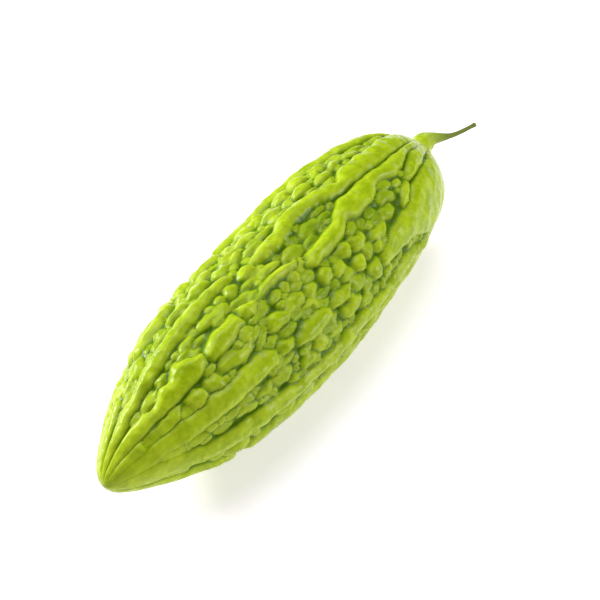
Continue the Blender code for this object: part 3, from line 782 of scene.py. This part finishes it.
def shaped_by(nodes: Callable[[Callable, Any], Any], source: bpy.types.Object,
              inputs: dict[str, Any], name: str) -> bpy.types.Object:
    """Runs a new geometry tree on an object and keeps the result as a plain mesh.

    Args:
        nodes: adds the shaping nodes. It is given the function that adds one and the
            tree's inputs, and returns the socket of the shaped geometry.
        source: the object that the tree works on, which is removed.
        inputs: the tree's numbers and its material, "Skin", by name.
        name: the finished piece's name.

    Returns:
        The finished piece, at the origin, with its place in its mesh.
    """
    kinds = {float: "NodeSocketFloat", int: "NodeSocketInt",
             bpy.types.Material: "NodeSocketMaterial"}
    modifier = source.modifiers.new("shape", "NODES")
    tree = modifier.node_group = bpy.data.node_groups.new(name, "GeometryNodeTree")
    tree.is_modifier = True
    for way in ("INPUT", "OUTPUT"):
        tree.interface.new_socket("Geometry", in_out=way, socket_type="NodeSocketGeometry")
    sockets = {label: tree.interface.new_socket(label, in_out="INPUT",
                                                socket_type=kinds[type(value)])
               for label, value in inputs.items()}
    add = partial(add_node, tree)
    given = add("NodeGroupInput")
    geometry = nodes(add, given)
    for kind in ("GeometryNodeSetShadeSmooth", "GeometryNodeRealizeInstances"):
        geometry = add(kind, {0: geometry})[0]
    dressed = add("GeometryNodeSetMaterial", {"Geometry": geometry, "Material": given["Skin"]})
    add("NodeGroupOutput", {0: dressed[0]})
    for label, socket in sockets.items():
        modifier[socket.identifier] = inputs[label]
    bpy.context.view_layer.update()
    depsgraph = bpy.context.evaluated_depsgraph_get()
    mesh = bpy.data.meshes.new_from_object(source.evaluated_get(depsgraph))
    mesh.name = name
    bpy.data.objects.remove(source, do_unlink=True)
    return new_object(name, mesh)


def add_attribute(mesh: bpy.types.Mesh, mark: Mark, values: np.ndarray) -> None:
    """Stores one value or vector for each point of a mesh.

    Args:
        mesh: the mesh.
        mark: the attribute.
        values: one value or row of three for each point.
    """
    kind, key = ("FLOAT_VECTOR", "vector") if values.ndim == 2 else ("FLOAT", "value")
    layer = mesh.attributes.new(mark.value, kind, "POINT")
    layer.data.foreach_set(key, values.astype(np.float32).ravel())


@dataclass
class Pod:
    """The fruit: a turned body with its relief raised on it, laid along X.

    Lumps are the fine unevenness of the skin, by name: (height, length).
    """

    relief: Relief
    skin: WaxySkin
    half_length: float = 106.0
    stem_gap: float = 0.3
    ring_tilt: float = 0.6
    outline_points: int = 4000
    rings_pitch: float = 0.8
    steps_round: int = 330
    crown: float = 0.8
    lumps: dict[str, Row] = field(default_factory=lambda: {
        "Undulation": (0.42, 12.0), "Wrinkle": (0.24, 5.0), "Grain": (0.04, 1.6)})
    noise_span: Row = (0.25, 0.75)
    centre: Vector = field(default_factory=Vector)

    @property
    def neck(self) -> Row:
        """Where the stem starts on the pod's axis, in millimetres."""
        return (self.half_length + self.stem_gap, *SWAY[-1][1:])

    def stations(self) -> np.ndarray:
        """Places of the rings along X, evenly spaced along the outline."""
        fine = np.linspace(-self.half_length, self.half_length, self.outline_points)
        radius = self.relief.radius(fine)
        run = np.concatenate([[0], np.cumsum(np.hypot(np.diff(fine), np.diff(radius)))])
        marks = np.linspace(0, run[-1], int(run[-1] / self.rings_pitch))
        return np.interp(marks, run, fine)[1:]

    def body(self) -> bpy.types.Object:
        """Makes the smooth turned body, whose points carry the relief's attributes.

        Returns:
            The object, in metres with its axis along X through the origin.
        """
        rings = self.stations()
        count = self.steps_round
        turns = np.linspace(0, 360, count, endpoint=False)
        x = np.repeat(rings, count)
        angle = np.tile(turns, len(rings))
        x = np.concatenate([x, [-self.half_length, self.half_length]])
        angle = np.concatenate([angle, [0, 0]])
        turn = np.radians(angle)
        out = np.stack([np.zeros(len(x)), -np.sin(turn), np.cos(turn)], axis=1)
        radius = self.relief.radius(x)
        radius[-1] = 0.0
        points = np.stack([x, smooth_through(SWAY, x, 1), smooth_through(SWAY, x, 2)], axis=1)
        points += out * radius[:, None]

        tip, top = len(x) - 2, len(x) - 1
        last = (len(rings) - 1) * count
        row = np.arange(0, last, count)[:, None]
        here = row + np.arange(count)
        beside = row + (np.arange(count) + 1) % count
        quads = np.stack([here, beside, beside + count, here + count], axis=-1)
        faces = quads.reshape(-1, 4).tolist()
        for k in range(count):
            after = (k + 1) % count
            faces += [(tip, after, k), (top, last + k, last + after)]
        mesh = bpy.data.meshes.new("pod_body")
        mesh.from_pydata((points * MM).tolist(), [], faces)
        marks = self.relief.read(x, angle)
        marks[Mark.SHARE][-1] = 0.0
        for mark, values in marks.items():
            add_attribute(mesh, mark, values)
        add_attribute(mesh, Mark.ALONG, x)
        add_attribute(mesh, Mark.OUTWARD, out)
        return new_object("pod_body", mesh)

    def nodes(self, add: Callable, given: Any) -> Any:
        """Adds the nodes that raise the relief and set the pod down on the surface.

        Args:
            add: adds one node.
            given: the tree's inputs.

        Returns:
            The socket of the pod's geometry.
        """
        place = add("GeometryNodeInputPosition")[0]
        share, lift, crown = (add("GeometryNodeInputNamedAttribute", {"Name": mark.value})[0]
                              for mark in (Mark.SHARE, Mark.LIFT, Mark.CROWN))
        out = add("GeometryNodeInputNamedAttribute", {"Name": Mark.OUTWARD.value},
                  data_type="FLOAT_VECTOR")[0]

        # Height over the crests, with finer and finer lumps
        below = add("ShaderNodeMath", {0: lift, 1: 1.0}, operation="SUBTRACT")[0]
        height = add("ShaderNodeMath", {0: below, 1: given["Relief depth"]},
                     operation="MULTIPLY")[0]
        height = add("ShaderNodeMath", {0: crown, 1: given["Crown"], 2: height},
                     operation="MULTIPLY_ADD")[0]
        for lump in self.lumps:
            often = add("ShaderNodeMath", {0: 1.0, 1: given[lump + " length"]},
                        operation="DIVIDE")[0]
            noise = add("ShaderNodeTexNoise", {"Vector": place, "Scale": often, "Detail": 1.0})[0]
            centred = add("ShaderNodeMapRange", {
                "Value": noise, "From Min": self.noise_span[0],
                "From Max": self.noise_span[1], "To Min": -1.0, "To Max": 1.0})[0]
            height = add("ShaderNodeMath", {0: centred, 1: given[lump], 2: height},
                         operation="MULTIPLY_ADD")[0]
        height = add("ShaderNodeMath", {0: height, 1: share}, operation="MULTIPLY")[0]
        offset = add("ShaderNodeVectorMath", {0: out, "Scale": height}, operation="SCALE")[0]
        raised = add("GeometryNodeSetPosition", {
            "Geometry": given["Geometry"], "Offset": offset})[0]

        # Set down, with nothing under the surface
        shift = add("ShaderNodeCombineXYZ", {
            k: given["Shift " + axis] for k, axis in enumerate("XYZ")})[0]
        moved = add("GeometryNodeSetPosition", {"Geometry": raised, "Offset": shift})[0]
        parts = add("ShaderNodeSeparateXYZ", {0: place})
        lowest = add("ShaderNodeMath", {0: parts[2], 1: 0.0}, operation="MAXIMUM")[0]
        rested = add("ShaderNodeCombineXYZ", {0: parts[0], 1: parts[1], 2: lowest})[0]
        return add("GeometryNodeSetPosition", {"Geometry": moved, "Position": rested})[0]

    def stem_start(self) -> Vector:
        """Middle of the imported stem's first ring, which tells where the pod's axis lies."""
        spots = [corner.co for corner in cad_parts["stem"].data.vertices]
        nearest = min(spot.x for spot in spots)
        ring = [spot for spot in spots if spot.x < nearest + self.ring_tilt * MM]
        return sum(ring, Vector()) / len(ring)

    def build(self) -> bpy.types.Object:
        """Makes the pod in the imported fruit's place.

        Returns:
            The finished piece.
        """
        body = self.body()
        self.centre = self.stem_start() - Vector(self.neck) * MM
        LOG.info("middle of the pod at %s", tuple(self.centre))
        inputs = {"Relief depth": self.relief.depth * MM, "Crown": self.crown * MM,
                  "Shift X": self.centre.x, "Shift Y": self.centre.y,
                  "Shift Z": self.centre.z, "Skin": self.skin.material()}
        for lump, (height, length) in self.lumps.items():
            inputs[lump] = height * MM
            inputs[lump + " length"] = length * MM
        piece = shaped_by(self.nodes, body, inputs, "pod")
        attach(piece, BODY)
        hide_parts("fruit")
        return piece


@dataclass
class Stem:
    """The cut stalk: swollen and ribbed at the neck, then thin and bent to one side.

    Radii are rows of (distance along, radius), and bends rows of (distance along, degrees).
    """

    skin: StalkSkin
    pod: Pod
    length: float = 31.0
    sunk: float = 1.2
    points: int = 60
    ribs: int = 5
    rib_depth: float = 0.10
    sides: int = 40
    wander: float = 0.1
    wander_per_metre: float = 350.0
    wander_detail: float = 2.0
    sharp_angle: float = 50.0
    radii: Rows = ((0, 4.4), (2.3, 4), (4.7, 3.1), (8.5, 2.3), (12.7, 1.55), (16.5, 1.05),
                   (21.3, 0.9), (29, 0.85), (31, 1))
    bends: Rows = ((0, 0), (2.3, 8), (6.5, 26), (10.6, 30.5), (14.6, 26), (19, 19),
                   (23.5, 14.5), (31, 13.5))
    bend_side: Row = (-0.873, -0.488)

    def path(self) -> bpy.types.Object:
        """Makes the stalk's centre line, which starts inside the neck.

        Returns:
            A curve object whose points carry their radius.
        """
        run = np.linspace(-self.sunk, self.length, self.points)
        bend = np.radians(smooth_through(self.bends, run))
        step = np.diff(run)
        middle = 0.5 * (bend[1:] + bend[:-1])
        along = np.concatenate([[0], np.cumsum(step * np.cos(middle))]) - self.sunk
        aside = np.concatenate([[0], np.cumsum(step * np.sin(middle))])
        across, up = self.bend_side
        places = self.pod.neck + np.stack([along, aside * across, aside * up], axis=1)
        curve = bpy.data.curves.new("stalk_way", "CURVE")
        curve.dimensions = "3D"
        spline = curve.splines.new("POLY")
        spline.points.add(len(run) - 1)
        radii = smooth_through(self.radii, run)
        for k, spot in enumerate(spline.points):
            place = Vector(places[k]) * MM + self.pod.centre
            spot.co = (*place, 1.0)
            spot.radius = radii[k]
        return new_object("stalk_way", curve)

    def nodes(self, add: Callable, given: Any) -> Any:
        """Adds the nodes that sweep a ribbed section along the stalk.

        Args:
            add: adds one node.
            given: the tree's inputs.

        Returns:
            The socket of the stalk's geometry.
        """
        along = add("GeometryNodeSplineParameter")["Factor"]
        marked = add("GeometryNodeStoreNamedAttribute", {
            "Geometry": given["Geometry"], "Name": Mark.ALONG.value, "Value": along},
            data_type="FLOAT", domain="POINT")[0]
        circle = add("GeometryNodeCurvePrimitiveCircle", {
            "Resolution": given["Sides"], "Radius": MM})["Curve"]
        turn = add("GeometryNodeInputIndex")[0]
        for step, value in (("DIVIDE", given["Sides"]), ("MULTIPLY", math.tau),
                            ("MULTIPLY", given["Ribs"])):
            turn = add("ShaderNodeMath", {0: turn, 1: value}, operation=step)[0]
        wave = add("ShaderNodeMath", {0: turn}, operation="COSINE")[0]
        swell = add("ShaderNodeMath", {0: wave, 1: given["Rib depth"], 2: 1.0},
                    operation="MULTIPLY_ADD")[0]
        place = add("GeometryNodeInputPosition")[0]
        ribbed = add("ShaderNodeVectorMath", {0: place, "Scale": swell}, operation="SCALE")[0]
        section = add("GeometryNodeSetPosition", {"Geometry": circle, "Position": ribbed})[0]
        swept = add("GeometryNodeCurveToMesh", {
            "Curve": marked, "Profile Curve": section,
            "Scale": add("GeometryNodeInputRadius")[0], "Fill Caps": True})[0]
        noise = add("ShaderNodeTexNoise", {
            "Scale": self.wander_per_metre, "Detail": self.wander_detail})["Color"]
        centred = add("ShaderNodeVectorMath", {0: noise, 1: (0.5, 0.5, 0.5)},
                      operation="SUBTRACT")[0]
        nudge = add("ShaderNodeVectorMath", {0: centred, "Scale": given["Wander"]},
                    operation="SCALE")[0]
        return add("GeometryNodeSetPosition", {"Geometry": swept, "Offset": nudge})[0]

    def build(self) -> bpy.types.Object:
        """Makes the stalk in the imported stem's place.

        Returns:
            The finished piece.
        """
        inputs = {"Rib depth": self.rib_depth, "Wander": self.wander * MM, "Ribs": self.ribs,
                  "Sides": self.sides, "Skin": self.skin.material()}
        piece = shaped_by(self.nodes, self.path(), inputs, "stalk")
        piece.data.set_sharp_from_angle(angle=math.radians(self.sharp_angle))
        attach(piece, BODY)
        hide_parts("stem")
        return piece


@dataclass
class Studio:
    """White table, soft lamps and the camera at the photograph's viewing angle.

    The aim's offset from the subject is in millimetres. Lamps are (power, width).
    """

    board: LightTable
    subject: Vector
    aim_offset: Row = (3.0, -6.2, 0.0)
    azimuth: float = -55.75
    elevation: float = 45.19
    distance: float = 0.562
    lens: float = 90.0
    sensor: float = 36.0
    clip: Row = (0.01, 20.0)
    lamp_distance: float = 0.9
    lamps: dict[Side, Row] = field(default_factory=lambda: {
        Side.KEY_LEFT: (9.0, 0.35), Side.FILL_RIGHT: (3.6, 0.4), Side.OVERHEAD: (5.6, 0.75)})
    sky: float = 0.2
    sky_colour: str = "#FFFFFF"
    table_size: float = 8.0
    table_squares: int = 8

    @property
    def aim(self) -> Vector:
        """The point by the subject that the camera and the lamps look at."""
        return self.subject + Vector(self.aim_offset) * MM

    def directions(self) -> tuple[Vector, Vector, Vector]:
        """The camera's own directions: to its right, up, and back towards it."""
        a, e = math.radians(self.azimuth), math.radians(self.elevation)
        back = Vector((math.sin(a) * math.cos(e), -math.cos(a) * math.cos(e), math.sin(e)))
        right = Vector((math.cos(a), math.sin(a), 0.0))
        return right, back.cross(right), back

    def camera(self) -> None:
        """Sets up the camera."""
        right, up, back = self.directions()
        data = bpy.data.cameras.new("camera")
        data.lens = self.lens
        data.sensor_width = self.sensor
        data.clip_start, data.clip_end = self.clip
        camera = new_object("camera", data)
        turn = Matrix((right, up, back)).transposed().to_4x4()
        camera.matrix_world = Matrix.Translation(self.aim + back * self.distance) @ turn
        bpy.context.scene.camera = camera

    def light(self) -> None:
        """Hangs the soft lamps and lights the room evenly."""
        right, _, back = self.directions()
        level_back = Vector((back.x, back.y, 0.0)).normalized()
        for side, (power, size) in self.lamps.items():
            across, height, near = side.value
            way = right * across + Vector((0, 0, 1)) * height + level_back * near
            data = bpy.data.lights.new(side.name.lower(), "AREA")
            data.energy = power
            data.shape = "DISK"
            data.size = size
            lamp = new_object(side.name.lower(), data)
            lamp.location = self.aim + way.normalized() * self.lamp_distance
            lamp.rotation_euler = way.to_track_quat("Z", "Y").to_euler()
        world = bpy.data.worlds.new("soft_room")
        world.use_nodes = True
        set_inputs(world.node_tree, world.node_tree.nodes["Background"], {
            "Color": linear(self.sky_colour), "Strength": self.sky})
        bpy.context.scene.world = world

    def table(self) -> bpy.types.Object:
        """Makes the white table top.

        Returns:
            The floor piece.
        """
        bpy.ops.mesh.primitive_grid_add(x_subdivisions=self.table_squares,
                                        y_subdivisions=self.table_squares,
                                        size=self.table_size)
        floor = bpy.context.active_object
        floor.name = "table_top"
        floor.data.materials.append(self.board.material())
        return floor

    def build(self) -> None:
        """Sets up the whole studio."""
        self.camera()
        self.light()
        self.table()
        bpy.context.scene.view_settings.view_transform = "Standard"
        bpy.context.scene.view_settings.look = "None"


def main() -> None:
    """Builds the fruit, its stem and the studio, and logs the pod's middle and face counts."""
    logging.basicConfig(level=logging.INFO, format="%(message)s")
    pod = Pod(relief=Relief(), skin=WaxySkin())
    piece = pod.build()
    LOG.info("pod: %d faces", len(piece.data.polygons))
    piece = Stem(skin=StalkSkin(), pod=pod).build()
    LOG.info("stalk: %d faces", len(piece.data.polygons))
    Studio(board=LightTable(), subject=pod.centre).build()


if __name__ == "__main__":
    main()
